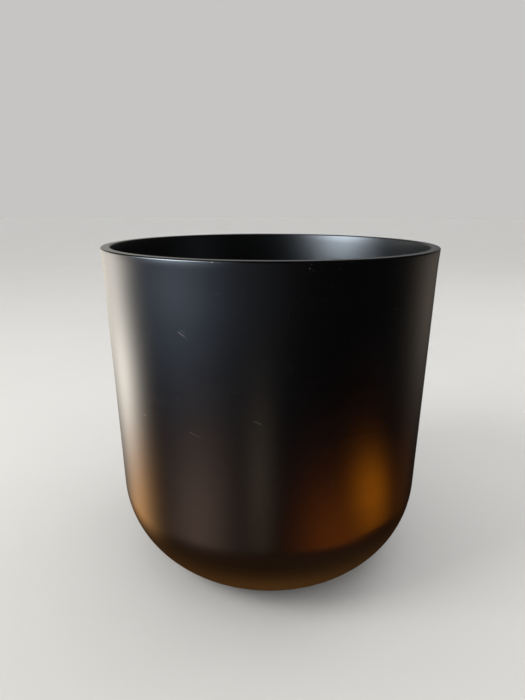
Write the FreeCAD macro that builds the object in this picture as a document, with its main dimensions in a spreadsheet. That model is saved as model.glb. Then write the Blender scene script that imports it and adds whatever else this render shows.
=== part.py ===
import FreeCAD, Part
import math
import os

import Sketcher

# Round moulded planter with a rounded base, a push-in drain plug and six base pads.
# Frame: millimetres, +Z up, origin on the floor plane under the centre of the pot.

Vector = FreeCAD.Vector
doc = FreeCAD.newDocument("RoundPlanter")
sheet = doc.addObject("Spreadsheet::Sheet", "Sizes")

# Sizes that drive the design. Lengths are in millimetres, angles in degrees.
DRIVING_SIZES = {
    "RimDiameter": 350.0,        # outside, at the top edge
    "Height": 350.0,             # from the floor to the rim land
    "WallThickness": 8.8,
    "WallDraft": 1.17,           # lean of the wall from the vertical
    "FlareOut": 0.875,           # how far the lip turns out past the leaning wall
    "FlareDepth": 30.0,
    "LipRound": 1.4,             # small radius on both edges of the rim land
    "UpperArc": 103.6,           # large radius where the wall turns in
    "LowerArc": 65.0,            # smaller radius that runs into the flat base
    "ArcChange": 45.4,           # slope at which one radius hands over to the other
    "PadProud": 1.5,             # gap the pads leave under the base
    "PadRadius": 9.0,
    "PadThickness": 3.0,
    "PadEdge": 0.5,
    "PadGap": 0.1,               # round each pad, in its recess
    "PadCount": 6,
    "FootWidth": 26.0,           # flat ring that carries the pads
    "ReliefDepth": 2.6,          # hollow between the foot ring and the drain boss
    "BossRadius": 32.0,
    "RibWidth": 5.0,
    "RibSet": 0.6,               # ribs and boss stand this far above the foot ring
    "DrainRadius": 12.5,
    "SeatRadius": 18.0,
    "SeatDepth": 2.0,
    "PlugClearance": 0.05,       # round the stem
    "FlangeGap": 0.4,            # round the flange
    "PlugEdge": 0.7,
    "PlugWall": 3.6,
    "PlugCrown": 3.2,            # solid rubber above the hollow of the stem
    "TabWidth": 15.0,
    "TabHeight": 15.0,
    "TabThickness": 3.4,
    "TabCorner": 6.0,
    "TabHoleRadius": 3.6,
}

# Sizes that follow from the ones above.
DERIVED_SIZES = {
    "RimRadius": "RimDiameter / 2",
    "LineTopR": "RimRadius - FlareOut",
    "TurnZ": "PadProud + LowerArc * (1 - sin(ArcChange))",
    "WallFootZ": "TurnZ + UpperArc * (sin(ArcChange) - sin(WallDraft))",
    "WallFootR": "LineTopR - (Height - WallFootZ) * tan(WallDraft)",
    "ArcCentreR": "WallFootR - UpperArc * cos(WallDraft)",
    "ArcCentreZ": "WallFootZ + UpperArc * sin(WallDraft)",
    "TurnR": "ArcCentreR + UpperArc * cos(ArcChange)",
    "BaseRadius": "TurnR - LowerArc * cos(ArcChange)",
    "FlareFootZ": "Height - FlareDepth",
    "FlareFootR": "LineTopR - FlareDepth * tan(WallDraft)",
    "FlareRise": "FlareOut + FlareDepth * tan(WallDraft)",
    "FlareArc": "(FlareRise ^ 2 + FlareDepth ^ 2) / (2 * FlareOut * cos(WallDraft))",
    "InnerUpperArc": "UpperArc - WallThickness",
    "InnerLowerArc": "LowerArc - WallThickness",
    "InnerTopR": "LineTopR - WallThickness / cos(WallDraft)",
    "InnerFootR": "ArcCentreR + InnerUpperArc * cos(WallDraft)",
    "InnerFootZ": "ArcCentreZ - InnerUpperArc * sin(WallDraft)",
    "InnerTurnR": "ArcCentreR + InnerUpperArc * cos(ArcChange)",
    "InnerTurnZ": "ArcCentreZ - InnerUpperArc * sin(ArcChange)",
    "FloorZ": "PadProud + WallThickness",
    "SeatZ": "FloorZ - SeatDepth",
    "BossZ": "PadProud + RibSet",
    "FootInnerR": "BaseRadius - FootWidth",
    "ReliefZ": "PadProud + ReliefDepth",
    "PadPitch": "BaseRadius - FootWidth / 2",
    "PadTopZ": "PadThickness",
    "PadRecessDepth": "PadThickness - PadProud",
    "PadRecessR": "PadRadius + PadGap",
    "StemR": "DrainRadius - PlugClearance",
    "StemBoreR": "StemR - PlugWall",
    "FlangeR": "SeatRadius - FlangeGap",
    "TabHalf": "TabWidth / 2",
    "TabTopZ": "FloorZ + TabHeight",
    "TabHoleZ": "TabTopZ - TabHalf",
    "TabFootZ": "FloorZ - SeatDepth / 2",
}


def fill_sheet():
    """Write every driving and derived size into the sheet, one named row each."""
    for row, (name, size) in enumerate(DRIVING_SIZES.items(), start=1):
        sheet.set(f"A{row}", name)
        sheet.set(f"B{row}", str(size))
        sheet.setAlias(f"B{row}", name)
    for row, (name, formula) in enumerate(DERIVED_SIZES.items(), start=len(DRIVING_SIZES) + 2):
        sheet.set(f"A{row}", name)
        sheet.set(f"B{row}", "=" + formula)
        sheet.setAlias(f"B{row}", name)
    doc.recompute()


def size(expression):
    """Number that a sheet expression, such as 'Sizes.Height / 2', stands for now."""
    result = sheet.evalExpression(expression)
    return float(getattr(result, "Value", result))


def new_body(name):
    """Empty body whose label is the name of the piece."""
    body = doc.addObject("PartDesign::Body", name)
    body.Label = name
    return body


def new_sketch(body, name, plane, height=None):
    """Sketch on one of the body's own base planes, raised to a sheet expression."""
    sketch = body.newObject("Sketcher::SketchObject", name)
    support = next(o for o in body.Origin.OriginFeatures if o.Role == plane)
    sketch.AttachmentSupport = [(support, "")]
    sketch.MapMode = "FlatFace"
    if height is not None:
        sketch.setExpression("AttachmentOffset.Base.z", height)
    doc.recompute()
    return sketch


def bind(sketch, index, name, expression):
    """Name a constraint and drive it from the sheet."""
    sketch.renameConstraint(index, name)
    sketch.setExpression(f"Constraints.{name}", expression)


def add_corner(sketch, index, point, label, x, y):
    """Hold one end of an edge at two sheet expressions."""
    for axis, kind, expression in (("X", "DistanceX", x), ("Y", "DistanceY", y)):
        value = size(expression)
        if abs(value) < 1e-9:
            # A zero distance is a point on the axis.
            sketch.addConstraint(Sketcher.Constraint("PointOnObject", index, point,
                                                     -2 if axis == "X" else -1))
            continue
        number = sketch.addConstraint(
            Sketcher.Constraint(kind, -1, 1, index, point, value))
        bind(sketch, number, label + axis, expression)


def closed_profile(sketch, corners, arcs=None):
    """Closed loop of lines and arcs through named corners.

    corners is a list of (label, x, y). arcs maps the label that an arc starts from to
    (radius expression, bulge side), where side 1 swells out of a loop drawn anticlockwise.
    """
    arcs = arcs or {}
    points = [Vector(size(x), size(y), 0) for _, x, y in corners]
    count = len(points)
    starts = []
    for i, (label, _, _) in enumerate(corners):
        first, last = points[i], points[(i + 1) % count]
        if label not in arcs:
            sketch.addGeometry(Part.LineSegment(first, last), False)
            starts.append((1, 2))
            continue
        radius, side = arcs[label]
        chord = last - first
        middle = (first + last) * 0.5
        normal = Vector(chord.y, -chord.x, 0).normalize() * side
        reach = size(radius)
        rise = reach - math.sqrt(reach ** 2 - (chord.Length / 2) ** 2)
        number = sketch.addGeometry(Part.Arc(first, middle + normal * rise, last), False)
        begin = sketch.getPoint(number, 1)
        starts.append((1, 2) if begin.distanceToPoint(first) < 1e-6 else (2, 1))
    for i, (label, x, y) in enumerate(corners):
        before = (i - 1) % count
        sketch.addConstraint(Sketcher.Constraint("Coincident", before, starts[before][1],
                                                 i, starts[i][0]))
        add_corner(sketch, i, starts[i][0], label, x, y)
    for i, (label, _, _) in enumerate(corners):
        if label in arcs:
            expression = arcs[label][0]
            number = sketch.addConstraint(Sketcher.Constraint("Radius", i, size(expression)))
            bind(sketch, number, label + "Radius", expression)
    doc.recompute()


def circle(sketch, radius, x="", label="Circle"):
    """Circle of a sheet radius, on the sketch's X axis or at its origin."""
    centre = Vector(size(x), 0, 0) if x else Vector(0, 0, 0)
    number = sketch.addGeometry(Part.Circle(centre, Vector(0, 0, 1), size(radius)), False)
    if x:
        sketch.addConstraint(Sketcher.Constraint("PointOnObject", number, 3, -1))
        place = sketch.addConstraint(
            Sketcher.Constraint("DistanceX", -1, 1, number, 3, size(x)))
        bind(sketch, place, label + "X", x)
    else:
        sketch.addConstraint(Sketcher.Constraint("Coincident", number, 3, -1, 1))
    measure = sketch.addConstraint(Sketcher.Constraint("Radius", number, size(radius)))
    bind(sketch, measure, label + "Radius", radius)
    doc.recompute()


def spin(body, kind, name, sketch):
    """Full revolution, added (Revolution) or cut (Groove), about the sketch's upright axis."""
    feature = body.newObject(f"PartDesign::{kind}", name)
    feature.Profile = sketch
    feature.ReferenceAxis = (sketch, ["V_Axis"])
    feature.Angle = 360.0
    body.Tip = feature
    doc.recompute()
    return feature


def extrude(body, kind, name, sketch, length, midplane=False, reverse=False):
    """Pad or Pocket of a sketch by a sheet length."""
    feature = body.newObject(f"PartDesign::{kind}", name)
    feature.Profile = sketch
    feature.setExpression("Length", length)
    feature.Midplane = midplane
    feature.Reversed = reverse
    body.Tip = feature
    doc.recompute()
    return feature


def ring_of(body, name, feature, sketch, count):
    """Repeat a feature evenly about the upright axis."""
    pattern = body.newObject("PartDesign::PolarPattern", name)
    pattern.Originals = [feature]
    pattern.Axis = (sketch, ["N_Axis"])
    pattern.Angle = 360.0
    pattern.setExpression("Occurrences", count)
    body.Tip = pattern
    doc.recompute()
    return pattern


def edges_at(shape, height, radii):
    """Names of the round edges at a height whose radius is one of those given."""
    names = []
    for number, edge in enumerate(shape.Edges, start=1):
        curve = edge.Curve
        if not isinstance(curve, Part.Circle) or abs(curve.Center.z - height) > 1e-4:
            continue
        if any(abs(curve.Radius - radius) < 1e-3 for radius in radii):
            names.append(f"Edge{number}")
    return names


def check_cut(before, after, cuts):
    """Stop if a feature that should cut added material, the other way round, or did nothing."""
    change = after.Volume - before
    if (change < 0) != cuts or abs(change) < 1.0:
        raise RuntimeError(f"volume moved the wrong way: {change:.1f}")


def make_pot_shell():
    """Turned wall and floor, with the lip radii, drain seat, ribbed underside and recesses."""
    body = new_body("pot_shell")
    profile = new_sketch(body, "WallProfile", "XZ_Plane")
    closed_profile(
        profile,
        [
            ("Axis", "0", "Sizes.PadProud"),
            ("Base", "Sizes.BaseRadius", "Sizes.PadProud"),
            ("Turn", "Sizes.TurnR", "Sizes.TurnZ"),
            ("Wall", "Sizes.WallFootR", "Sizes.WallFootZ"),
            ("Flare", "Sizes.FlareFootR", "Sizes.FlareFootZ"),
            ("Lip", "Sizes.RimRadius", "Sizes.Height"),
            ("Land", "Sizes.InnerTopR", "Sizes.Height"),
            ("InWall", "Sizes.InnerFootR", "Sizes.InnerFootZ"),
            ("InTurn", "Sizes.InnerTurnR", "Sizes.InnerTurnZ"),
            ("Floor", "Sizes.BaseRadius", "Sizes.FloorZ"),
            ("Middle", "0", "Sizes.FloorZ"),
        ],
        {
            "Base": ("Sizes.LowerArc", 1),
            "Turn": ("Sizes.UpperArc", 1),
            "Flare": ("Sizes.FlareArc", -1),
            "InWall": ("Sizes.InnerUpperArc", -1),
            "InTurn": ("Sizes.InnerLowerArc", -1),
        },
    )
    wall = spin(body, "Revolution", "Wall", profile)

    lip = body.newObject("PartDesign::Fillet", "LipRounds")
    rim_edges = edges_at(wall.Shape, size("Sizes.Height"),
                         (size("Sizes.RimRadius"), size("Sizes.InnerTopR")))
    lip.Base = (wall, rim_edges)
    lip.setExpression("Radius", "Sizes.LipRound")
    body.Tip = lip
    doc.recompute()

    drain = new_sketch(body, "DrainProfile", "XZ_Plane")
    closed_profile(drain, [
        ("Below", "0", "Sizes.PadProud - 1"),
        ("BelowR", "Sizes.DrainRadius", "Sizes.PadProud - 1"),
        ("Shoulder", "Sizes.DrainRadius", "Sizes.SeatZ"),
        ("Seat", "Sizes.SeatRadius", "Sizes.SeatZ"),
        ("Mouth", "Sizes.SeatRadius", "Sizes.FloorZ + 1"),
        ("Above", "0", "Sizes.FloorZ + 1"),
    ])
    before = body.Shape.Volume
    spin(body, "Groove", "DrainHole", drain)
    check_cut(before, body.Shape, True)

    relief = new_sketch(body, "ReliefProfile", "XZ_Plane")
    closed_profile(relief, [
        ("Inner", "Sizes.DrainRadius / 2", "Sizes.PadProud - 1"),
        ("InnerUp", "Sizes.DrainRadius / 2", "Sizes.BossZ"),
        ("Boss", "Sizes.BossRadius", "Sizes.BossZ"),
        ("BossUp", "Sizes.BossRadius + Sizes.ReliefDepth / 4", "Sizes.ReliefZ"),
        ("Foot", "Sizes.FootInnerR - Sizes.ReliefDepth / 2", "Sizes.ReliefZ"),
        ("FootDown", "Sizes.FootInnerR", "Sizes.PadProud"),
        ("Outer", "Sizes.FootInnerR", "Sizes.PadProud - 1"),
    ])
    before = body.Shape.Volume
    spin(body, "Groove", "UndersideRelief", relief)
    check_cut(before, body.Shape, True)

    rib = new_sketch(body, "RibOutline", "XY_Plane", "Sizes.BossZ")
    closed_profile(rib, [
        ("NearLow", "Sizes.BossRadius - 1", "-Sizes.RibWidth / 2"),
        ("FarLow", "Sizes.FootInnerR + 1", "-Sizes.RibWidth / 2"),
        ("FarHigh", "Sizes.FootInnerR + 1", "Sizes.RibWidth / 2"),
        ("NearHigh", "Sizes.BossRadius - 1", "Sizes.RibWidth / 2"),
    ])
    before = body.Shape.Volume
    first_rib = extrude(body, "Pad", "Rib", rib, "Sizes.ReliefDepth - Sizes.RibSet / 2")
    ring_of(body, "Ribs", first_rib, rib, "Sizes.PadCount")
    check_cut(before, body.Shape, False)

    recess = new_sketch(body, "PadRecessOutline", "XY_Plane", "Sizes.PadProud")
    circle(recess, "Sizes.PadRecessR", "Sizes.PadPitch")
    before = body.Shape.Volume
    first = extrude(body, "Pocket", "PadRecess", recess, "Sizes.PadRecessDepth", reverse=True)
    ring_of(body, "PadRecesses", first, recess, "Sizes.PadCount")
    check_cut(before, body.Shape, True)
    return body


def make_drain_plug():
    """Rubber bung: hollow stem, flat flange that lies in the seat, and a pull tab."""
    body = new_body("drain_plug")
    profile = new_sketch(body, "PlugProfile", "XZ_Plane")
    closed_profile(profile, [
        ("Crown", "0", "Sizes.FloorZ - Sizes.PlugCrown"),
        ("Bore", "Sizes.StemBoreR", "Sizes.FloorZ - Sizes.PlugCrown"),
        ("Mouth", "Sizes.StemBoreR", "Sizes.BossZ"),
        ("Tip", "Sizes.StemR - Sizes.PlugEdge", "Sizes.BossZ"),
        ("Stem", "Sizes.StemR", "Sizes.BossZ + Sizes.PlugEdge"),
        ("Neck", "Sizes.StemR", "Sizes.SeatZ"),
        ("Flange", "Sizes.FlangeR", "Sizes.SeatZ"),
        ("Side", "Sizes.FlangeR", "Sizes.FloorZ - Sizes.PlugEdge"),
        ("Face", "Sizes.FlangeR - Sizes.PlugEdge", "Sizes.FloorZ"),
        ("Top", "0", "Sizes.FloorZ"),
    ])
    spin(body, "Revolution", "Bung", profile)

    tab = new_sketch(body, "TabOutline", "XZ_Plane")
    closed_profile(tab, [
        ("FootLeft", "-Sizes.TabHalf", "Sizes.TabFootZ"),
        ("FootRight", "Sizes.TabHalf", "Sizes.TabFootZ"),
        ("Right", "Sizes.TabHalf", "Sizes.TabTopZ - Sizes.TabCorner"),
        ("TopRight", "Sizes.TabHalf - Sizes.TabCorner", "Sizes.TabTopZ"),
        ("TopLeft", "Sizes.TabCorner - Sizes.TabHalf", "Sizes.TabTopZ"),
        ("Left", "-Sizes.TabHalf", "Sizes.TabTopZ - Sizes.TabCorner"),
    ], {"Right": ("Sizes.TabCorner", 1), "TopLeft": ("Sizes.TabCorner", 1)})
    before = body.Shape.Volume
    extrude(body, "Pad", "PullTab", tab, "Sizes.TabThickness", midplane=True)
    check_cut(before, body.Shape, False)

    hole = new_sketch(body, "TabHoleOutline", "XZ_Plane")
    number = hole.addGeometry(Part.Circle(Vector(0, size("Sizes.TabHoleZ"), 0), Vector(0, 0, 1),
                                          size("Sizes.TabHoleRadius")), False)
    hole.addConstraint(Sketcher.Constraint("PointOnObject", number, 3, -2))
    bind(hole, hole.addConstraint(Sketcher.Constraint(
        "DistanceY", -1, 1, number, 3, size("Sizes.TabHoleZ"))), "HoleZ", "Sizes.TabHoleZ")
    bind(hole, hole.addConstraint(Sketcher.Constraint(
        "Radius", number, size("Sizes.TabHoleRadius"))), "HoleRadius", "Sizes.TabHoleRadius")
    before = body.Shape.Volume
    extrude(body, "Pocket", "TabHole", hole, "Sizes.TabThickness * 2", midplane=True)
    check_cut(before, body.Shape, True)
    return body


def make_foot_pad(number, count):
    """Soft disc with a broken lower edge, glued into its recess in the foot ring."""
    name = f"foot_pad_{number}"
    body = new_body(name)
    profile = new_sketch(body, f"PadProfile{number}", "XZ_Plane")
    closed_profile(profile, [
        ("Centre", "0", "0"),
        ("Face", "Sizes.PadRadius - Sizes.PadEdge", "0"),
        ("Edge", "Sizes.PadRadius", "Sizes.PadEdge"),
        ("Rim", "Sizes.PadRadius", "Sizes.PadTopZ"),
        ("Top", "0", "Sizes.PadTopZ"),
    ])
    spin(body, "Revolution", f"Disc{number}", profile)
    turn = 360.0 / count * (number - 1)
    body.setExpression("Placement.Base.x", f"Sizes.PadPitch * cos({turn})")
    body.setExpression("Placement.Base.y", f"Sizes.PadPitch * sin({turn})")
    doc.recompute()
    return body


def write_step(bodies):
    """Check each finished solid and write it to its own file."""
    for item in doc.Objects:
        if "Invalid" in item.State or "Error" in item.State:
            raise RuntimeError(f"{item.Label} is in state {item.State}")
    os.makedirs("parts", exist_ok=True)
    for body in bodies:
        if body.Shape.isNull() or not body.Shape.isValid() or len(body.Shape.Solids) != 1:
            raise RuntimeError(f"{body.Label} is not one sound solid")
        body.Shape.exportStep(f"parts/{body.Label}.step")
        box = body.Shape.optimalBoundingBox()
        print(f"{body.Label}: {body.Shape.Volume:.0f} mm3, "
              f"z {box.ZMin:.2f} to {box.ZMax:.2f}, x {box.XMin:.2f} to {box.XMax:.2f}")


fill_sheet()
pad_count = int(size("Sizes.PadCount"))
pieces = [make_pot_shell(), make_drain_plug()]
pieces += [make_foot_pad(number, pad_count) for number in range(1, pad_count + 1)]
doc.recompute()
write_step(pieces)
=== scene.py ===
"""Round satin-black planter with a rounded base: wall, drain plug, base pads and studio."""

import logging
import math
from dataclasses import dataclass, field
from enum import Enum

import bmesh
import bpy
from mathutils import Matrix, Vector


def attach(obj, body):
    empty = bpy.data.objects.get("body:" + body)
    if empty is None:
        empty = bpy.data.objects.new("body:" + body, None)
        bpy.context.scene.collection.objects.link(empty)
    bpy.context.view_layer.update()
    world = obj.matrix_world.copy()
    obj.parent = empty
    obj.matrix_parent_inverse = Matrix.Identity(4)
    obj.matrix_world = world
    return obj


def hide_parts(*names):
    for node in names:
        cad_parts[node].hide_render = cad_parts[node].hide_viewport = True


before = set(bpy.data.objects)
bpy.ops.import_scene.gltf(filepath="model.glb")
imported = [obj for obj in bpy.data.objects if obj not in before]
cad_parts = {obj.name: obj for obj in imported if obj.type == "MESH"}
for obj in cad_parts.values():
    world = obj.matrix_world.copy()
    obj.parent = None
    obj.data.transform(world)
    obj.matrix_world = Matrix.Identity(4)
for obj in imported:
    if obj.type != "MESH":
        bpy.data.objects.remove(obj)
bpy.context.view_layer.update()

logging.basicConfig(level=logging.INFO, format="%(message)s")
log = logging.getLogger("planter")

MM = 0.001
AXIS_GAP = 0.02 * MM    # a turned section stops this far from the axis
Point = tuple[float, float]


class Body(Enum):
    """Rigid bodies of the planter."""

    POT = "pot"
    PLUG = "plug"


class Slot(Enum):
    """Material slots of the record."""

    PLASTIC = "pot_plastic"
    PLUG = "plug_rubber"
    PAD = "pad_rubber"


# --------------------------------------------------------------------------- node helpers


class ShaderGraph:
    """Short way to add and join shader nodes in one tree."""

    def __init__(self, tree: bpy.types.NodeTree) -> None:
        """Keep the tree and empty it.

        Args:
            tree: Node tree of a material or a world.
        """
        self.tree = tree
        tree.nodes.clear()

    def node(self, kind: str, **settings: object) -> bpy.types.Node:
        """Add a node.

        Args:
            kind: Node type without the ShaderNode prefix.
            settings: Properties of the node.

        Returns:
            The new node.
        """
        made = self.tree.nodes.new("ShaderNode" + kind)
        for name, value in settings.items():
            setattr(made, name, value)
        return made

    def feed(self, socket: bpy.types.NodeSocket, value: object) -> None:
        """Link an output, or write a constant, to an input socket.

        Args:
            socket: Input to fill.
            value: Output socket, number or colour.
        """
        if isinstance(value, bpy.types.NodeSocket):
            self.tree.links.new(value, socket)
        else:
            socket.default_value = value

    def math(self, operation: str, *values: object, clamp: bool = False) -> bpy.types.NodeSocket:
        """Add a Math node.

        Args:
            operation: Math operation.
            values: Inputs in order, sockets or numbers.
            clamp: Whether the result is held between 0 and 1.

        Returns:
            The result socket.
        """
        made = self.node("Math", operation=operation, use_clamp=clamp)
        for socket, value in zip(made.inputs, values):
            self.feed(socket, value)
        return made.outputs[0]

    def ramp(self, value: object, low: float, high: float, start: float = 0.0,
             end: float = 1.0) -> bpy.types.NodeSocket:
        """Map a range smoothly to another.

        Args:
            value: Input.
            low: Input value that gives start.
            high: Input value that gives end.
            start: First output value.
            end: Last output value.

        Returns:
            The mapped value.
        """
        made = self.node("MapRange", interpolation_type="SMOOTHSTEP")
        for name, item in (("Value", value), ("From Min", low), ("From Max", high),
                           ("To Min", start), ("To Max", end)):
            self.feed(made.inputs[name], item)
        return made.outputs[0]

    def noise(self, vector: object, scale: float, detail: float = 3.0,
              roughness: float = 0.55) -> bpy.types.NodeSocket:
        """Add a Noise texture.

        Args:
            vector: Coordinates.
            scale: Features per metre.
            detail: Octaves.
            roughness: Strength of the finer octaves.

        Returns:
            The noise value, about 0.5 on average.
        """
        made = self.node("TexNoise")
        for name, item in (("Vector", vector), ("Scale", scale), ("Detail", detail),
                           ("Roughness", roughness)):
            self.feed(made.inputs[name], item)
        return made.outputs["Fac"]

    def vector(self, x: object, y: object, z: object) -> bpy.types.NodeSocket:
        """Combine three values.

        Args:
            x: First value.
            y: Second value.
            z: Third value.

        Returns:
            The vector socket.
        """
        made = self.node("CombineXYZ")
        for socket, value in zip(made.inputs, (x, y, z)):
            self.feed(socket, value)
        return made.outputs[0]

    def split(self, vector: bpy.types.NodeSocket) -> tuple[bpy.types.NodeSocket, ...]:
        """Separate a vector.

        Args:
            vector: Vector socket.

        Returns:
            Its three components.
        """
        made = self.node("SeparateXYZ")
        self.feed(made.inputs[0], vector)
        return tuple(made.outputs)

    def mix(self, factor: object, first: object, second: object) -> bpy.types.NodeSocket:
        """Mix two colours.

        Args:
            factor: Share of the second colour.
            first: Colour at 0.
            second: Colour at 1.

        Returns:
            The mixed colour.
        """
        made = self.node("Mix", data_type="RGBA", clamp_factor=True)
        self.feed(made.inputs["Factor"], factor)
        self.feed(made.inputs[6], first)
        self.feed(made.inputs[7], second)
        return made.outputs[2]

    def bump(self, height: object, depth: float, under: object = None) -> bpy.types.NodeSocket:
        """Add a Bump node.

        Args:
            height: Height from 0 to 1.
            depth: Real depth in metres that height 1 stands for.
            under: Normal that this one is laid on.

        Returns:
            The normal.
        """
        made = self.node("Bump")
        self.feed(made.inputs["Strength"], 1.0)
        self.feed(made.inputs["Distance"], depth)
        self.feed(made.inputs["Height"], height)
        if under is not None:
            self.feed(made.inputs["Normal"], under)
        return made.outputs[0]


# --------------------------------------------------------------------------- finishes


@dataclass(frozen=True)
class Scratch:
    """One light scuff on the outer wall."""

    bearing: float      # degrees round the pot from +X
    height: float       # metres above the floor
    length: float       # metres
    width: float        # metres
    tilt: float         # degrees from level
    strength: float     # 0 to 1


@dataclass(frozen=True)
class SatinPlastic:
    """Moulded black plastic, rubbed round the wall so that it shines with a soft grain."""

    colour: tuple[float, float, float, float] = (0.0010, 0.0011, 0.0013, 1.0)
    clouded: tuple[float, float, float, float] = (0.0030, 0.0032, 0.0037, 1.0)
    rubbed: tuple[float, float, float, float] = (0.030, 0.031, 0.034, 1.0)
    dust: tuple[float, float, float, float] = (0.30, 0.29, 0.27, 1.0)
    cloud_share: float = 0.35
    band_share: float = 0.03
    wear_share: float = 0.10
    speck_share: float = 0.45
    scuff_share: float = 0.60
    roughness: float = 0.18
    inner_roughness: float = 0.15
    band_roughness: float = 0.07
    cloud_roughness: float = 0.08
    scuff_roughness: float = 0.25
    grain_depth: float = 0.012 * MM
    grain_pitch: float = 560.0
    grain_run: float = 14.0
    band_depth: float = 0.008 * MM
    band_pitch: float = 230.0
    band_run: float = 11.0
    scuff_depth: float = 0.03 * MM
    ior: float = 1.50
    stretch: float = 0.12
    stretch_turn: float = 0.25
    wall_radius: float = 0.172
    rim_height: float = 0.350
    scratches: tuple[Scratch, ...] = field(default=(
        Scratch(-114.5, 0.2890, 0.0095, 0.0004, -30.0, 0.90),
        Scratch(-114.0, 0.2912, 0.0065, 0.0003, -29.0, 0.45),
        Scratch(-113.2, 0.2868, 0.0050, 0.0003, -32.0, 0.35),
        Scratch(-93.0, 0.2173, 0.0085, 0.0003, -20.0, 0.45),
        Scratch(-131.6, 0.2049, 0.0065, 0.0004, -10.0, 0.65),
        Scratch(-111.8, 0.2001, 0.0150, 0.0003, -14.0, 0.30),
        Scratch(-117.0, 0.2310, 0.0015, 0.0005, 0.0, 0.50),
        Scratch(-103.2, 0.3244, 0.0070, 0.0003, 4.0, 0.15),
        Scratch(-104.4, 0.3484, 0.0035, 0.0006, 4.0, 0.60),
        Scratch(28.0, 0.2400, 0.0100, 0.0003, -9.0, 0.40),
        Scratch(64.0, 0.1300, 0.0060, 0.0003, 35.0, 0.40),
        Scratch(133.0, 0.2800, 0.0090, 0.0003, 14.0, 0.45),
        Scratch(170.0, 0.1700, 0.0050, 0.0003, -40.0, 0.40),
    ))

    def scuff_mask(self, graph: ShaderGraph, around: object, height: object) -> object:
        """Add up the scratches as thin lines with soft ends.

        Args:
            graph: Graph of the material.
            around: Distance round the wall in metres.
            height: Height above the floor in metres.

        Returns:
            Mask, 1 on a scratch.
        """
        total: object = 0.0
        for scratch in self.scratches:
            turn = math.radians(scratch.tilt)
            dx = graph.math("SUBTRACT", around,
                            math.radians(scratch.bearing) * self.wall_radius)
            dz = graph.math("SUBTRACT", height, scratch.height)
            along = graph.math("ADD", graph.math("MULTIPLY", dx, math.cos(turn)),
                               graph.math("MULTIPLY", dz, math.sin(turn)))
            across = graph.math("SUBTRACT", graph.math("MULTIPLY", dz, math.cos(turn)),
                                graph.math("MULTIPLY", dx, math.sin(turn)))
            ends = graph.ramp(graph.math("ABSOLUTE", along), scratch.length * 0.5,
                              scratch.length * 0.2)
            sides = graph.ramp(graph.math("ABSOLUTE", across), scratch.width, 0.0)
            line = graph.math("MULTIPLY", graph.math("MULTIPLY", ends, sides), scratch.strength)
            total = graph.math("MAXIMUM", total, line)
        return total

    def make(self) -> bpy.types.Material:
        """Build the material.

        Returns:
            The finished material.
        """
        material = bpy.data.materials.new("satin_plastic")
        material.use_nodes = True
        graph = ShaderGraph(material.node_tree)
        coordinates = graph.node("TexCoord")
        place = coordinates.outputs["Object"]
        x, y, z = graph.split(place)
        bearing = graph.math("ARCTAN2", y, x)
        around = graph.math("MULTIPLY", bearing, self.wall_radius)
        flat = graph.vector(x, y, 0.0)
        length = graph.node("VectorMath", operation="LENGTH")
        graph.feed(length.inputs[0], flat)
        reach = length.outputs["Value"]

        # Fine lines that run round the pot: long along the bearing, close together up the wall
        # and out along the rim land. Taken through x and y, so they meet without a seam.
        ring = graph.vector(graph.math("MULTIPLY", x, self.grain_run),
                            graph.math("MULTIPLY", y, self.grain_run),
                            graph.math("MULTIPLY", graph.math("ADD", z, reach),
                                       self.grain_pitch))
        grain = graph.noise(ring, 1.0, 4.0, 0.65)
        broad = graph.vector(graph.math("MULTIPLY", x, self.band_run),
                             graph.math("MULTIPLY", y, self.band_run),
                             graph.math("MULTIPLY", graph.math("ADD", z, reach),
                                        self.band_pitch))
        bands = graph.noise(broad, 1.0, 3.0, 0.6)
        cloud = graph.noise(place, 9.0, 3.0)
        speck = graph.ramp(graph.noise(place, 900.0, 1.0), 0.735, 0.80)
        sparse = graph.ramp(graph.noise(place, 40.0, 2.0), 0.50, 0.66)
        specks = graph.math("MULTIPLY", speck, sparse)

        # How far a face looks away from the axis: 1 on the outer wall, -1 on the inner one.
        normal_x, normal_y, _ = graph.split(coordinates.outputs["Normal"])
        facing = graph.math("DIVIDE", graph.math("ADD", graph.math("MULTIPLY", normal_x, x),
                                                 graph.math("MULTIPLY", normal_y, y)), reach)
        outside = graph.ramp(facing, 0.2, 0.6)
        inside = graph.ramp(facing, -0.2, -0.6)
        scuffs = graph.math("MULTIPLY", self.scuff_mask(graph, around, z), outside)
        land = graph.ramp(z, self.rim_height - 0.6 * MM, self.rim_height - 0.1 * MM)
        wear = graph.math("MULTIPLY", land, graph.ramp(grain, 0.50, 0.72))

        tint = graph.mix(graph.ramp(cloud, 0.35, 0.65, 0.0, self.cloud_share), self.colour,
                         self.clouded)
        tint = graph.mix(graph.math("MULTIPLY", bands, self.band_share), tint, self.rubbed)
        tint = graph.mix(graph.math("MULTIPLY", wear, self.wear_share), tint, self.dust)
        tint = graph.mix(graph.math("MULTIPLY", specks, self.speck_share), tint, self.dust)
        tint = graph.mix(graph.math("MULTIPLY", scuffs, self.scuff_share), tint, self.dust)

        polish = graph.math("ADD", self.roughness,
                            graph.math("MULTIPLY", graph.math("SUBTRACT", bands, 0.5),
                                       self.band_roughness))
        polish = graph.math("ADD", polish,
                            graph.math("MULTIPLY", graph.math("SUBTRACT", cloud, 0.5),
                                       self.cloud_roughness))
        polish = graph.math("ADD", polish, graph.math("MULTIPLY", inside,
                                                      self.inner_roughness))
        polish = graph.math("ADD", polish, graph.math("MULTIPLY", scuffs, self.scuff_roughness),
                            clamp=True)

        normal = graph.bump(grain, self.grain_depth)
        normal = graph.bump(bands, self.band_depth, normal)
        normal = graph.bump(scuffs, self.scuff_depth, normal)

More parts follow.
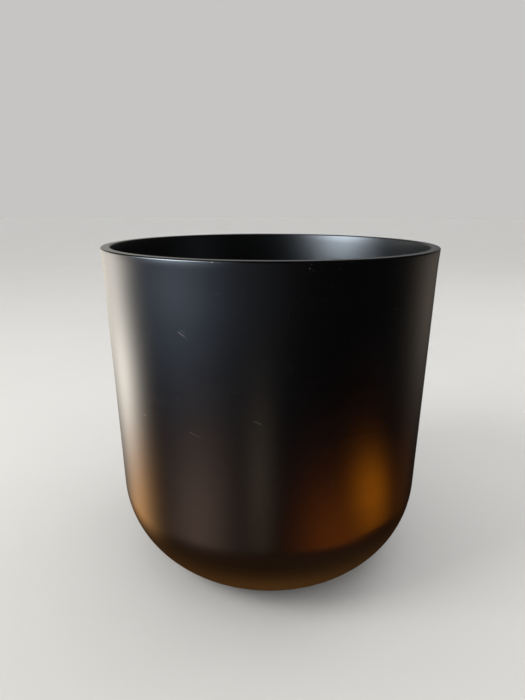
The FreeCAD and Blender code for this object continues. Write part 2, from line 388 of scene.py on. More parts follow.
        shader = graph.node("BsdfPrincipled")
        graph.feed(shader.inputs["Base Color"], tint)
        graph.feed(shader.inputs["Roughness"], polish)
        graph.feed(shader.inputs["Normal"], normal)
        shader.inputs["IOR"].default_value = self.ior
        shader.inputs["Anisotropic"].default_value = self.stretch
        shader.inputs["Anisotropic Rotation"].default_value = self.stretch_turn
        tangent = graph.node("Tangent", direction_type="RADIAL", axis="Z")
        graph.feed(shader.inputs["Tangent"], tangent.outputs[0])
        output = graph.node("OutputMaterial")
        graph.feed(output.inputs["Surface"], shader.outputs[0])
        return material


@dataclass(frozen=True)
class MouldedRubber:
    """Matt rubber with a fine sandy grain and patches of pale bloom."""

    name: str
    colour: tuple[float, float, float, float]
    bloom: tuple[float, float, float, float]
    roughness: float
    grain_scale: float = 2600.0

    def make(self) -> bpy.types.Material:
        """Build the material.

        Returns:
            The finished material.
        """
        material = bpy.data.materials.new(self.name)
        material.use_nodes = True
        graph = ShaderGraph(material.node_tree)
        place = graph.node("TexCoord").outputs["Object"]
        grain = graph.noise(place, self.grain_scale, 3.0, 0.7)
        patch = graph.noise(place, 180.0, 3.0)
        tint = graph.mix(graph.ramp(patch, 0.40, 0.72, 0.0, 0.45), self.colour, self.bloom)
        tint = graph.mix(graph.ramp(grain, 0.62, 0.80, 0.0, 0.30), tint, self.bloom)
        polish = graph.math("ADD", self.roughness,
                            graph.math("MULTIPLY", graph.math("SUBTRACT", patch, 0.5), 0.25),
                            clamp=True)
        shader = graph.node("BsdfPrincipled")
        graph.feed(shader.inputs["Base Color"], tint)
        graph.feed(shader.inputs["Roughness"], polish)
        graph.feed(shader.inputs["Normal"], graph.bump(grain, 0.03 * MM))
        output = graph.node("OutputMaterial")
        graph.feed(output.inputs["Surface"], shader.outputs[0])
        return material


@dataclass(frozen=True)
class PaleFloor:
    """Plain pale studio floor with the faintest mottling."""

    colour: tuple[float, float, float, float] = (0.66, 0.65, 0.63, 1.0)
    second: tuple[float, float, float, float] = (0.62, 0.61, 0.59, 1.0)

    def make(self) -> bpy.types.Material:
        """Build the material.

        Returns:
            The finished material.
        """
        material = bpy.data.materials.new("pale_floor")
        material.use_nodes = True
        graph = ShaderGraph(material.node_tree)
        place = graph.node("TexCoord").outputs["Object"]
        shader = graph.node("BsdfPrincipled")
        graph.feed(shader.inputs["Base Color"],
                   graph.mix(graph.noise(place, 3.0), self.colour, self.second))
        shader.inputs["Roughness"].default_value = 0.75
        shader.inputs["Specular IOR Level"].default_value = 0.2
        output = graph.node("OutputMaterial")
        graph.feed(output.inputs["Surface"], shader.outputs[0])
        return material


# --------------------------------------------------------------------------- lathe tree


class Lathe:
    """Geometry Nodes tree that turns a section round Z, with a named input for each size."""

    EASE_IN = 12.0      # per metre: the wander is full 1/12 m above Still Below

    def __init__(self) -> None:
        """Build the tree once."""
        self.tree = bpy.data.node_groups.new("lathe", "GeometryNodeTree")
        face = self.tree.interface
        face.new_socket("Section", in_out="INPUT", socket_type="NodeSocketGeometry")
        for name, kind, value in (("Segments", "NodeSocketInt", 96),
                                  ("Closed Section", "NodeSocketBool", True),
                                  ("Waviness", "NodeSocketFloat", 0.0),
                                  ("Wave Scale", "NodeSocketFloat", 8.0),
                                  ("Wave Seed", "NodeSocketFloat", 3.0),
                                  ("Still Below", "NodeSocketFloat", 0.0),
                                  ("Smooth Angle", "NodeSocketFloat", 0.6),
                                  ("Finish", "NodeSocketMaterial", None)):
            socket = face.new_socket(name, in_out="INPUT", socket_type=kind)
            if value is not None:
                socket.default_value = value
        face.new_socket("Turned", in_out="OUTPUT", socket_type="NodeSocketGeometry")
        self._fill()

    def _node(self, kind: str, **settings: object) -> bpy.types.Node:
        """Add a node.

        Args:
            kind: Full type name.
            settings: Properties of the node.

        Returns:
            The new node.
        """
        made = self.tree.nodes.new(kind)
        for name, value in settings.items():
            setattr(made, name, value)
        return made

    def _math(self, operation: str, first: object, second: object) -> bpy.types.NodeSocket:
        """Add a Math node.

        Args:
            operation: Math operation.
            first: First input, a socket or a number.
            second: Second input, a socket or a number.

        Returns:
            The result socket.
        """
        made = self._node("ShaderNodeMath", operation=operation)
        for socket, value in zip(made.inputs, (first, second)):
            if isinstance(value, bpy.types.NodeSocket):
                self.tree.links.new(value, socket)
            else:
                socket.default_value = value
        return made.outputs[0]

    def _capture(self, geometry: bpy.types.NodeSocket, kind: str,
                 value: bpy.types.NodeSocket) -> tuple[bpy.types.NodeSocket, ...]:
        """Remember a value on the points of a geometry.

        Args:
            geometry: Geometry socket.
            kind: Type of the value, FLOAT or VECTOR.
            value: Field to remember.

        Returns:
            The geometry that remembers it, and the remembered value.
        """
        made = self._node("GeometryNodeCaptureAttribute", domain="POINT")
        made.capture_items.new(kind, "Kept")
        self.tree.links.new(geometry, made.inputs["Geometry"])
        self.tree.links.new(value, made.inputs["Kept"])
        return made.outputs["Geometry"], made.outputs["Kept"]

    def _fill(self) -> None:
        """Lay out the nodes: sweep the section, wrap it round Z, ripple it and dress it."""
        link = self.tree.links.new
        given = self._node("NodeGroupInput").outputs
        result = self._node("NodeGroupOutput").inputs

        # The section becomes a curve that remembers where each of its points lies.
        to_curve = self._node("GeometryNodeMeshToCurve")
        link(given["Section"], to_curve.inputs["Mesh"])
        section_place = self._node("GeometryNodeInputPosition").outputs[0]
        section, drawn = self._capture(to_curve.outputs["Curve"], "VECTOR", section_place)

        # A closed rail, whose points know their share of the turn, carries the section.
        circle = self._node("GeometryNodeCurvePrimitiveCircle")
        link(given["Segments"], circle.inputs["Resolution"])
        parameter = self._node("GeometryNodeSplineParameter").outputs["Factor"]
        rail, share = self._capture(circle.outputs["Curve"], "FLOAT", parameter)
        sweep = self._node("GeometryNodeCurveToMesh")
        link(rail, sweep.inputs["Curve"])
        link(section, sweep.inputs["Profile Curve"])

        # Each point goes to its own reach and height at its own bearing.
        corner = self._node("ShaderNodeSeparateXYZ")
        link(drawn, corner.inputs[0])
        bearing = self._math("MULTIPLY", share, 2 * math.pi)
        seat = self._node("ShaderNodeCombineXYZ")
        link(self._math("MULTIPLY", corner.outputs["X"], self._math("COSINE", bearing, 0.0)),
             seat.inputs[0])
        link(self._math("MULTIPLY", corner.outputs["X"], self._math("SINE", bearing, 0.0)),
             seat.inputs[1])
        link(corner.outputs["Y"], seat.inputs[2])
        turned = self._node("GeometryNodeSetPosition")
        link(sweep.outputs["Mesh"], turned.inputs["Geometry"])
        link(seat.outputs[0], turned.inputs["Position"])

        # A slight, slow wander of the moulded wall, in and out from the axis.
        place = self._node("GeometryNodeInputPosition").outputs[0]
        noise = self._node("ShaderNodeTexNoise", noise_dimensions="4D")
        link(place, noise.inputs["Vector"])
        link(given["Wave Scale"], noise.inputs["Scale"])
        link(given["Wave Seed"], noise.inputs["W"])
        noise.inputs["Detail"].default_value = 1.0
        split = self._node("ShaderNodeSeparateXYZ")
        link(place, split.inputs[0])
        rise = self._math("SUBTRACT", split.outputs["Z"], given["Still Below"])
        ease = self._node("ShaderNodeClamp")
        link(self._math("MULTIPLY", rise, self.EASE_IN), ease.inputs["Value"])
        wander = self._math("MULTIPLY", self._math("SUBTRACT", noise.outputs["Fac"], 0.5),
                            given["Waviness"])
        wander = self._math("MULTIPLY", wander, ease.outputs[0])
        flat = self._node("ShaderNodeCombineXYZ")
        link(split.outputs["X"], flat.inputs[0])
        link(split.outputs["Y"], flat.inputs[1])
        outward = self._node("ShaderNodeVectorMath", operation="NORMALIZE")
        link(flat.outputs[0], outward.inputs[0])
        offset = self._node("ShaderNodeVectorMath", operation="SCALE")
        link(outward.outputs[0], offset.inputs[0])
        link(wander, offset.inputs["Scale"])
        ripple = self._node("GeometryNodeSetPosition")
        link(turned.outputs["Geometry"], ripple.inputs["Geometry"])
        link(offset.outputs[0], ripple.inputs["Offset"])

        smooth = self._node("GeometryNodeSetShadeSmooth")
        link(ripple.outputs[0], smooth.inputs["Geometry"])
        edge = self._node("GeometryNodeInputMeshEdgeAngle")
        sharp = self._node("FunctionNodeCompare", data_type="FLOAT", operation="GREATER_THAN")
        link(edge.outputs["Unsigned Angle"], sharp.inputs[0])
        link(given["Smooth Angle"], sharp.inputs[1])
        crease = self._node("GeometryNodeSetShadeSmooth", domain="EDGE")
        link(smooth.outputs[0], crease.inputs["Geometry"])
        link(sharp.outputs[0], crease.inputs["Selection"])
        crease.inputs["Shade Smooth"].default_value = False

        realize = self._node("GeometryNodeRealizeInstances")
        link(crease.outputs[0], realize.inputs[0])
        dress = self._node("GeometryNodeSetMaterial")
        link(realize.outputs[0], dress.inputs["Geometry"])
        link(given["Finish"], dress.inputs["Material"])
        link(dress.outputs[0], result["Turned"])

    def turn(self, name: str, section: list[Point], finish: bpy.types.Material, segments: int,
             closed: bool = True, **sizes: float) -> bpy.types.Mesh:
        """Turn a section into a plain mesh.

        Args:
            name: Name of the mesh.
            section: Points as (reach, height) in metres, anticlockwise seen with Z up.
            finish: Material.
            segments: Sides of the turned shape.
            closed: Whether the section runs back to its start.
            sizes: Other inputs of the tree, by their names with underscores for spaces.

        Returns:
            The finished mesh.
        """
        carrier_mesh = bpy.data.meshes.new(name + "_section")
        count = len(section)
        edges = [(i, i + 1) for i in range(count - 1)] + ([(count - 1, 0)] if closed else [])
        carrier_mesh.from_pydata([(reach, height, 0.0) for reach, height in section], edges, [])
        carrier = bpy.data.objects.new(name + "_section", carrier_mesh)
        bpy.context.scene.collection.objects.link(carrier)
        modifier = carrier.modifiers.new("lathe", "NODES")
        modifier.node_group = self.tree
        inputs = {"Segments": segments, "Finish": finish}
        inputs.update({key.replace("_", " "): value for key, value in sizes.items()})
        for item in self.tree.interface.items_tree:
            if item.item_type == "SOCKET" and item.name in inputs:
                modifier[item.identifier] = inputs[item.name]
        carrier.update_tag()
        graph = bpy.context.evaluated_depsgraph_get()
        mesh = bpy.data.meshes.new_from_object(carrier.evaluated_get(graph))
        mesh.name = name
        bpy.data.objects.remove(carrier, do_unlink=True)
        bpy.data.meshes.remove(carrier_mesh)
        return mesh


def arc(centre: Point, radius: float, start: float, end: float, steps: int) -> list[Point]:
    """Points along an arc of the section.

    Args:
        centre: Centre as (reach, height).
        radius: Radius in metres.
        start: First angle in degrees, from the outward direction, upward positive.
        end: Last angle in degrees.
        steps: Number of spans.

    Returns:
        steps + 1 points.
    """
    angles = [math.radians(start + (end - start) * i / steps) for i in range(steps + 1)]
    return [(centre[0] + radius * math.cos(a), centre[1] + radius * math.sin(a))
            for a in angles]


def line(first: Point, last: Point, steps: int) -> list[Point]:
    """Points along a straight run, without its two ends.

    Args:
        first: Start of the run.
        last: End of the run.
        steps: Number of spans.

    Returns:
        steps - 1 points.
    """
    return [(first[0] + (last[0] - first[0]) * i / steps,
             first[1] + (last[1] - first[1]) * i / steps) for i in range(1, steps)]


def clean(mesh: bpy.types.Mesh, weld: float = 1e-6) -> None:
    """Merge doubles and point the faces outwards.

    Args:
        mesh: Mesh to mend in place.
        weld: Greatest distance between doubles in metres.
    """
    work = bmesh.new()
    work.from_mesh(mesh)
    bmesh.ops.remove_doubles(work, verts=work.verts, dist=weld)
    bmesh.ops.recalc_face_normals(work, faces=work.faces)
    work.to_mesh(mesh)
    work.free()


def make_piece(name: str, mesh: bpy.types.Mesh, body: Body, slot: Slot,
               *nodes: str) -> bpy.types.Object:
    """Put a mesh in the scene as a piece of the object.

    Args:
        name: Name of the piece.
        mesh: Finished mesh in the row frame.
        body: Body that it rides on.
        slot: Material slot of the record; not used.
        nodes: CAD nodes that it stands for.

    Returns:
        The new object.
    """
    piece = bpy.data.objects.new(name, mesh)
    bpy.context.scene.collection.objects.link(piece)
    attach(piece, body.value)
    if nodes:
        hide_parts(*nodes)
    log.info("%s: %d faces", name, len(mesh.polygons))
    return piece


# --------------------------------------------------------------------------- the planter


@dataclass
class PotShell:
    """Turned wall and floor of the pot. Sizes in metres, angles in degrees."""

    lathe: Lathe
    finish: bpy.types.Material
    height: float = 0.350
    rim_radius: float = 0.175
    wall: float = 8.8 * MM
    draft: float = 1.17
    flare: float = 0.875 * MM
    flare_depth: float = 30 * MM
    lip_round: float = 1.4 * MM
    upper_arc: float = 103.6 * MM
    lower_arc: float = 65.0 * MM
    arc_change: float = 45.4
    base_gap: float = 1.5 * MM
    foot_width: float = 26 * MM
    relief: float = 2.6 * MM
    boss_radius: float = 32 * MM
    boss_set: float = 0.6 * MM
    drain_radius: float = 12.5 * MM
    seat_radius: float = 18.0 * MM
    seat_depth: float = 2.0 * MM
    rib_width: float = 5.0 * MM
    rib_count: int = 6
    edge_round: float = 0.6 * MM
    waviness: float = 0.20 * MM
    wave_scale: float = 9.0
    wave_seed: float = 3.0
    still_below: float = 0.06
    segments: int = 480

    def __post_init__(self) -> None:
        """Work out the corners of the section."""
        lean = math.radians(self.draft)
        turn = math.radians(self.arc_change)
        self.line_top = self.rim_radius - self.flare
        turn_z = self.base_gap + self.lower_arc * (1 - math.sin(turn))
        foot_z = turn_z + self.upper_arc * (math.sin(turn) - math.sin(lean))
        foot_r = self.line_top - (self.height - foot_z) * math.tan(lean)
        self.upper_centre = (foot_r - self.upper_arc * math.cos(lean),
                             foot_z + self.upper_arc * math.sin(lean))
        self.base_radius = (self.upper_centre[0]
                            + (self.upper_arc - self.lower_arc) * math.cos(turn))
        self.lower_centre = (self.base_radius, self.base_gap + self.lower_arc)
        self.foot_z = foot_z
        self.floor_z = self.base_gap + self.wall
        self.foot_inner = self.base_radius - self.foot_width
        self.inner_top = self.line_top - self.wall / math.cos(lean)

    def outer_reach(self, height: float) -> float:
        """Outside radius of the leaning wall at a height.

        Args:
            height: Height above the floor.

        Returns:
            The radius, with the turned-out lip.
        """
        depth = self.height - height
        lip = max(0.0, 1 - depth / self.flare_depth)
        return (self.line_top - depth * math.tan(math.radians(self.draft))
                + self.flare * lip ** 2)

    def section(self) -> list[Point]:
        """Closed outline of half the pot, from the drain hole out, up, in and back.

        Returns:
            Points as (reach, height).
        """
        r, z0, top = self.edge_round, self.base_gap, self.height
        lip = self.lip_round
        boss_z, relief_z = z0 + self.boss_set, z0 + self.relief
        outline = arc((self.drain_radius + r, boss_z + r), r, 180, 270, 4)
        outline += line(outline[-1], (self.boss_radius - r, boss_z), 8)
        outline += [(self.boss_radius - r, boss_z), (self.boss_radius, boss_z + r),
                    (self.boss_radius + r, relief_z)]
        outline += line(outline[-1], (self.foot_inner - 2 * r, relief_z), 12)
        outline += [(self.foot_inner - 2 * r, relief_z), (self.foot_inner - r, z0 + r),
                    (self.foot_inner, z0)]
        outline += line(outline[-1], (self.base_radius, z0), 6)
        outline += arc(self.lower_centre, self.lower_arc, -90, -self.arc_change, 16)
        outline += arc(self.upper_centre, self.upper_arc, -self.arc_change, -self.draft, 26)[1:]
        steps = 44
        for i in range(1, steps):
            height = self.foot_z + (top - lip - self.foot_z) * i / steps
            outline.append((self.outer_reach(height), height))
        outer = self.outer_reach(top - lip)
        outline += arc((outer - lip, top - lip), lip, 0, 90, 7)
        outline += line(outline[-1], (self.inner_top + lip, top), 5)
        outline += arc((self.inner_top + lip, top - lip), lip, 90, 180, 7)
        lean = math.tan(math.radians(self.draft))
        inner_foot = (self.inner_top - (top - self.foot_z) * lean, self.foot_z)
        outline += line(outline[-1], inner_foot, 30)
        outline += arc(self.upper_centre, self.upper_arc - self.wall, -self.draft,
                       -self.arc_change, 22)
        outline += arc(self.lower_centre, self.lower_arc - self.wall, -self.arc_change,
                       -90, 14)[1:]
        floor = self.floor_z
        outline += line(outline[-1], (self.seat_radius + r, floor), 8)
        outline += arc((self.seat_radius + r, floor - r), r, 90, 180, 3)
        seat = floor - self.seat_depth
        outline += [(self.seat_radius, seat), (self.drain_radius + r, seat),
                    (self.drain_radius, seat - r)]
        return outline

    def ribs(self) -> bpy.types.Mesh:
        """Six low ribs in the hollow between the drain boss and the foot ring.

        Returns:
            The mesh of all the ribs.
        """
        work = bmesh.new()
        near, far = self.boss_radius - 0.5 * MM, self.foot_inner + 0.5 * MM
        low = self.base_gap + self.boss_set
        high = self.base_gap + self.relief + 1.5 * MM
        for number in range(self.rib_count):
            spin = Matrix.Rotation(2 * math.pi * number / self.rib_count, 4, "Z")
            made = bmesh.ops.create_cube(work, size=1.0)["verts"]
            for vert in made:
                vert.co = spin @ Vector(((near + far) / 2 + vert.co.x * (far - near),
                                         vert.co.y * self.rib_width,
                                         (low + high) / 2 + vert.co.z * (high - low)))
        bmesh.ops.bevel(work, geom=list(work.edges), offset=0.5 * MM, segments=2,
                        affect="EDGES", profile=0.5)
        bmesh.ops.recalc_face_normals(work, faces=work.faces)
        mesh = bpy.data.meshes.new("base_ribs")
        work.to_mesh(mesh)
        work.free()
        mesh.materials.append(self.finish)
        return mesh

    def build(self) -> None:
        """Make the wall and the ribs."""
        mesh = self.lathe.turn("pot_wall", self.section(), self.finish, self.segments,
                               Waviness=self.waviness, Wave_Scale=self.wave_scale,
                               Wave_Seed=self.wave_seed, Still_Below=self.still_below,
                               Smooth_Angle=0.7)
        clean(mesh)
        make_piece("pot_wall", mesh, Body.POT, Slot.PLASTIC, "pot_shell")
        make_piece("base_ribs", self.ribs(), Body.POT, Slot.PLASTIC)


@dataclass
class DrainPlug:
    """Rubber bung with a pull tab."""

    lathe: Lathe
    finish: bpy.types.Material
    floor_z: float
    low_z: float
    stem_radius: float = 12.45 * MM
    bore_radius: float = 8.85 * MM
    crown: float = 3.2 * MM
    flange_radius: float = 17.6 * MM
    seat_depth: float = 2.0 * MM
    tab_width: float = 15.0 * MM
    tab_height: float = 15.0 * MM
    tab_thickness: float = 3.4 * MM
    tab_corner: float = 6.0 * MM
    tab_hole: float = 3.6 * MM
    edge: float = 0.7 * MM
    ring: tuple[Point, ...] = ((13.4, 0.0), (13.0, 0.25), (12.4, 0.25), (12.0, 0.0))
    segments: int = 96

    def section(self) -> list[Point]:
        """Outline of half the bung, open at the axis.

        Returns:
            Points as (reach, height), from the hollow's roof round to the top.
        """
        e, roof = self.edge, self.floor_z - self.crown
        seat = self.floor_z - self.seat_depth
        outline = [(AXIS_GAP, roof), (self.bore_radius - e, roof), (self.bore_radius, roof - e),
                   (self.bore_radius, self.low_z + 0.3 * e)]
        outline += arc((self.stem_radius - e, self.low_z + e), e, -90, 0, 4)
        outline += [(self.stem_radius, seat), (self.flange_radius - 0.2 * e, seat)]
        outline += arc((self.flange_radius - e, self.floor_z - e), e, 0, 90, 4)
        # A shallow moulded ring round the tab, as reach and sink in millimetres.
        outline += [(reach * MM, self.floor_z - sink * MM) for reach, sink in self.ring]
        outline.append((AXIS_GAP, self.floor_z))
        return outline

    def tab(self) -> bpy.types.Mesh:
        """Upright tab with a finger hole.

        Returns:
            The tab's mesh, standing in the XZ plane.
        """
        curve = bpy.data.curves.new("pull_tab", "CURVE")
        curve.dimensions = "2D"
        curve.fill_mode = "BOTH"
        soft = 0.6 * MM
        curve.extrude = self.tab_thickness / 2 - soft
        curve.bevel_depth = soft
        curve.bevel_resolution = 3
        half, top = self.tab_width / 2 - soft, self.floor_z + self.tab_height - soft
        corner = self.tab_corner - soft
        foot = self.floor_z - self.seat_depth / 2
        points = [(-half, foot), (half, foot)]
        points += arc((half - corner, top - corner), corner, 0, 90, 10)
        points += arc((corner - half, top - corner), corner, 90, 180, 10)
        hole = arc((0.0, self.floor_z + self.tab_height - self.tab_width / 2),
                   self.tab_hole + soft, 0, -360, 36)[:-1]
        for outline in (points, hole):
            spline = curve.splines.new("POLY")
            spline.points.add(len(outline) - 1)
            for point, (x, y) in zip(spline.points, outline):
                point.co = (x, y, 0.0, 1.0)
            spline.use_cyclic_u = True
        holder = bpy.data.objects.new("pull_tab", curve)
        bpy.context.scene.collection.objects.link(holder)
        graph = bpy.context.evaluated_depsgraph_get()
        mesh = bpy.data.meshes.new_from_object(holder.evaluated_get(graph))
        bpy.data.objects.remove(holder, do_unlink=True)
        mesh.transform(Matrix.Rotation(math.pi / 2, 4, "X"))
        return mesh

    def build(self) -> None:
        """Make the bung and its tab as one piece."""
        mesh = self.lathe.turn("drain_bung", self.section(), self.finish, self.segments,
                               closed=False, Smooth_Angle=0.7)
        work = bmesh.new()
        work.from_mesh(mesh)
        close_axis(work)
        tab = self.tab()
        work.from_mesh(tab)
        bmesh.ops.remove_doubles(work, verts=work.verts, dist=1e-7)
        bmesh.ops.recalc_face_normals(work, faces=work.faces)
        for face in work.faces:
            face.material_index = 0
        work.to_mesh(mesh)
        work.free()
        make_piece("drain_bung", mesh, Body.PLUG, Slot.PLUG, "drain_plug")


def close_axis(work: bmesh.types.BMesh) -> None:
    """Fill the two pin-holes that a turned shape leaves at the axis.

    Args:
        work: Mesh with open loops round Z.
    """
    bmesh.ops.remove_doubles(work, verts=work.verts, dist=1e-7)
    rim = [edge for edge in work.edges if edge.is_boundary]
    bmesh.ops.holes_fill(work, edges=rim, sides=0)


@dataclass
class BasePads:
    """Soft non-slip discs glued under the foot ring."""

    lathe: Lathe
    finish: bpy.types.Material
    pitch: float
    count: int = 6
    radius: float = 9.0 * MM
    thickness: float = 3.0 * MM
    edge: float = 0.5 * MM
    grooves: tuple[float, ...] = (3.0, 5.6)    # reach in millimetres
    groove_shape: tuple[Point, ...] = ((-0.45, 0.0), (-0.2, 0.3), (0.2, 0.3), (0.45, 0.0))
    segments: int = 64

    def section(self) -> list[Point]:
        """Outline of half a pad, with two grip grooves in its face.

        Returns:
            Points as (reach, height).
        """
        outline = [(AXIS_GAP, 0.0)]
        for groove in self.grooves:
            outline += [((groove + step) * MM, lift * MM) for step, lift in self.groove_shape]
        outline += arc((self.radius - self.edge, self.edge), self.edge, -90, 0, 4)
        outline += [(self.radius, self.thickness), (AXIS_GAP, self.thickness)]
        return outline

    def build(self) -> None:
        """Make one piece for each pad."""
        for number in range(1, self.count + 1):
            name = f"base_pad_{number}"
            mesh = self.lathe.turn(name, self.section(), self.finish, self.segments,
                                   closed=False, Smooth_Angle=0.6)
            work = bmesh.new()
            work.from_mesh(mesh)
            close_axis(work)
            bmesh.ops.recalc_face_normals(work, faces=work.faces)
            work.to_mesh(mesh)
            work.free()
            turn = 2 * math.pi * (number - 1) / self.count
            mesh.transform(Matrix.Translation((self.pitch * math.cos(turn),
                                               self.pitch * math.sin(turn), 0.0)))
            make_piece(name, mesh, Body.POT, Slot.PAD, f"foot_pad_{number}")


# --------------------------------------------------------------------------- studio


@dataclass(frozen=True)
class Glow:
    """One soft panel of the surround, by its direction from the pot."""

    bearing: float      # degrees clockwise from +Y
    rise: float         # degrees above the horizon
    wide: float         # half width in degrees
    tall: float         # half height in degrees
    colour: tuple[float, float, float]
    strength: float


@dataclass(frozen=True)
class SoftLight:
    """One square soft light that points at the pot."""

    name: str
    place: tuple[float, float, float]
    size: float         # side in metres
    power: float        # watts
    colour: tuple[float, float, float]


@dataclass(frozen=True)
class Studio:
    """Floor, soft lights, camera and the surround that the gloss picks up."""

    floor: PaleFloor = PaleFloor()
    backdrop: tuple[float, float, float, float] = (0.568, 0.560, 0.548, 1.0)
    skylight: tuple[float, float, float, float] = (0.92, 0.92, 0.92, 1.0)
    ambient: tuple[float, float, float] = (0.001, 0.001, 0.0015)
    camera_place: tuple[float, float, float] = (0.0, -0.5546, 0.3922)
    camera_pitch: float = 16.29
    camera_turn: float = 0.78
    camera_roll: float = 0.08
    lens: float = 25.97
    sensor: float = 36.0
    floor_radius: float = 14.0
    aim: tuple[float, float, float] = (0.0, 0.0, 0.15)
    lights: tuple[SoftLight, ...] = (
        SoftLight("window", (-1.6, -0.7, 1.5), 0.9, 22.0, (1.0, 0.97, 0.92)),
        SoftLight("fill", (1.4, 0.9, 1.8), 1.4, 8.0, (0.93, 0.96, 1.0)),
    )
    glows: tuple[Glow, ...] = (
        # Tall panel on the left in two parts, and the dimmer wall beyond it.
        Glow(-62.0, -6.0, 19.0, 13.0, (1.0, 0.95, 0.86), 2.8),
        Glow(-62.0, -20.0, 18.0, 7.5, (1.0, 0.94, 0.84), 3.5),
        Glow(-32.0, -8.0, 20.0, 15.0, (1.0, 0.93, 0.82), 1.15),
        # Cool window, with the panel that it lights below it.
        Glow(-122.0, -9.0, 30.0, 12.0, (0.74, 0.88, 1.14), 1.30),
        Glow(-116.0, 10.0, 20.0, 8.0, (0.82, 0.94, 1.06), 60.0),
        Glow(-170.0, -12.0, 26.0, 14.0, (0.90, 0.95, 1.05), 0.16),
        # Far side and the strip over the rim.
        Glow(55.0, -9.0, 24.0, 12.0, (1.0, 0.84, 0.68), 0.27),
        Glow(0.0, 8.0, 30.0, 12.0, (1.0, 1.0, 1.0), 0.26),
        # Warm panels low down.
        Glow(100.0, -32.8, 18.0, 3.0, (1.0, 0.27, 0.0), 3.5),
        Glow(132.0, -39.0, 27.0, 4.6, (1.0, 0.20, 0.0), 1.6),
        Glow(62.0, -31.0, 16.0, 6.0, (1.0, 0.25, 0.0), 0.12),
        Glow(-66.0, -34.0, 20.0, 8.0, (1.0, 0.50, 0.18), 2.2),
        Glow(-128.0, -36.0, 26.0, 9.0, (1.0, 0.66, 0.50), 1.15),
        Glow(-174.0, -33.0, 10.0, 8.0, (1.0, 0.76, 0.52), 0.62),
        Glow(-170.0, -52.0, 90.0, 11.0, (1.0, 0.46, 0.18), 0.14),
        Glow(0.0, -90.0, 400.0, 34.0, (1.0, 0.42, 0.10), 0.30),
    )

    def surround(self) -> None:
        """World: plain pale to the eye and to the floor, soft panels to the gloss."""
        world = bpy.data.worlds.new("studio")
        bpy.context.scene.world = world
        world.use_nodes = True
        graph = ShaderGraph(world.node_tree)
        x, y, z = graph.split(graph.node("TexCoord").outputs["Generated"])
        bearing = graph.math("ARCTAN2", x, y)
        rise = graph.math("ARCSINE", z)
        total: object = None
        for glow in self.glows:
            off = graph.math("SUBTRACT", bearing, math.radians(glow.bearing))
            off = graph.math("WRAP", off, math.pi, -math.pi)
            across = graph.math("DIVIDE", off, math.radians(glow.wide))
            up = graph.math("DIVIDE", graph.math("SUBTRACT", rise, math.radians(glow.rise)),
                            math.radians(glow.tall))
            far = graph.math("ADD", graph.math("MULTIPLY", across, across),
                             graph.math("MULTIPLY", up, up))
            share = graph.math("MULTIPLY", graph.math("EXPONENT",
                                                      graph.math("MULTIPLY", far, -1.0)),
                               glow.strength)
            scaled = graph.node("VectorMath", operation="SCALE")
            scaled.inputs[0].default_value = glow.colour
            graph.feed(scaled.inputs["Scale"], share)
            if total is None:
                total = scaled.outputs[0]
            else:
                adding = graph.node("VectorMath", operation="ADD")
                graph.feed(adding.inputs[0], total)
                graph.feed(adding.inputs[1], scaled.outputs[0])
                total = adding.outputs[0]
        base = graph.node("VectorMath", operation="ADD")
        graph.feed(base.inputs[0], total)
        base.inputs[1].default_value = self.ambient
        rays = graph.node("LightPath")
        colour = graph.mix(rays.outputs["Is Camera Ray"], self.skylight, self.backdrop)
        colour = graph.mix(rays.outputs["Is Glossy Ray"], colour, base.outputs[0])
        light = graph.node("Background")
        graph.feed(light.inputs["Color"], colour)
        light.inputs["Strength"].default_value = 1.0
        output = graph.node("OutputWorld")
        graph.feed(output.inputs["Surface"], light.outputs[0])

    def ground(self) -> None:
        """Large floor that the gloss doesn't pick up."""
        work = bmesh.new()
        bmesh.ops.create_circle(work, cap_ends=True, radius=self.floor_radius, segments=96)
        mesh = bpy.data.meshes.new("floor")
        work.to_mesh(mesh)
        work.free()
        mesh.materials.append(self.floor.make())
        floor = bpy.data.objects.new("floor", mesh)
        floor.visible_glossy = False
        bpy.context.scene.collection.objects.link(floor)

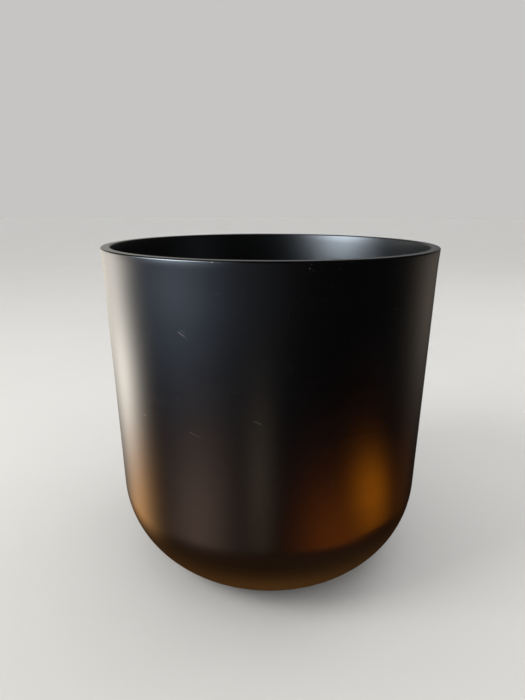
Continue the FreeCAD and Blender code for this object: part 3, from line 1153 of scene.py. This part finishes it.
    def lamp(self, given: SoftLight) -> None:
        """Add a soft light that the gloss doesn't pick up.

        Args:
            given: The light to add.
        """
        light = bpy.data.lights.new(given.name, "AREA")
        light.size = given.size
        light.energy = given.power
        light.color = given.colour
        lamp = bpy.data.objects.new(given.name, light)
        lamp.location = given.place
        towards = Vector(self.aim) - Vector(given.place)
        lamp.rotation_euler = towards.to_track_quat("-Z", "Y").to_euler()
        lamp.visible_glossy = False
        bpy.context.scene.collection.objects.link(lamp)

    def camera(self) -> None:
        """Camera close in front, a little above the rim and tipped down."""
        data = bpy.data.cameras.new("camera")
        data.sensor_width = self.sensor
        data.lens = self.lens
        data.clip_start, data.clip_end = 0.01, 100.0
        camera = bpy.data.objects.new("camera", data)
        camera.location = self.camera_place
        camera.rotation_mode = "QUATERNION"
        turn = (Matrix.Rotation(math.radians(self.camera_turn), 4, "Z")
                @ Matrix.Rotation(math.radians(90.0 - self.camera_pitch), 4, "X")
                @ Matrix.Rotation(math.radians(self.camera_roll), 4, "Z"))
        camera.rotation_quaternion = turn.to_quaternion()
        bpy.context.scene.collection.objects.link(camera)
        bpy.context.scene.camera = camera

    def build(self) -> None:
        """Make the whole studio."""
        self.surround()
        self.ground()
        for light in self.lights:
            self.lamp(light)
        self.camera()
        scene = bpy.context.scene
        scene.view_settings.view_transform = "Standard"
        scene.view_settings.look = "None"


# --------------------------------------------------------------------------- all together


def main() -> None:
    """Build the planter and its studio, piece by piece."""
    lathe = Lathe()
    plastic = SatinPlastic().make()
    plug_rubber = MouldedRubber("plug_rubber_finish", (0.012, 0.012, 0.013, 1.0),
                                (0.040, 0.040, 0.040, 1.0), 0.62).make()
    pad_rubber = MouldedRubber("pad_rubber_finish", (0.060, 0.060, 0.058, 1.0),
                               (0.115, 0.113, 0.108, 1.0), 0.80).make()
    shell = PotShell(lathe, plastic)
    shell.build()
    DrainPlug(lathe, plug_rubber, floor_z=shell.floor_z,
              low_z=shell.base_gap + shell.boss_set).build()
    BasePads(lathe, pad_rubber, pitch=shell.base_radius - shell.foot_width / 2).build()
    Studio().build()
    log.info("studio: floor, surround, two lights and the camera")


if __name__ == "__main__":
    main()
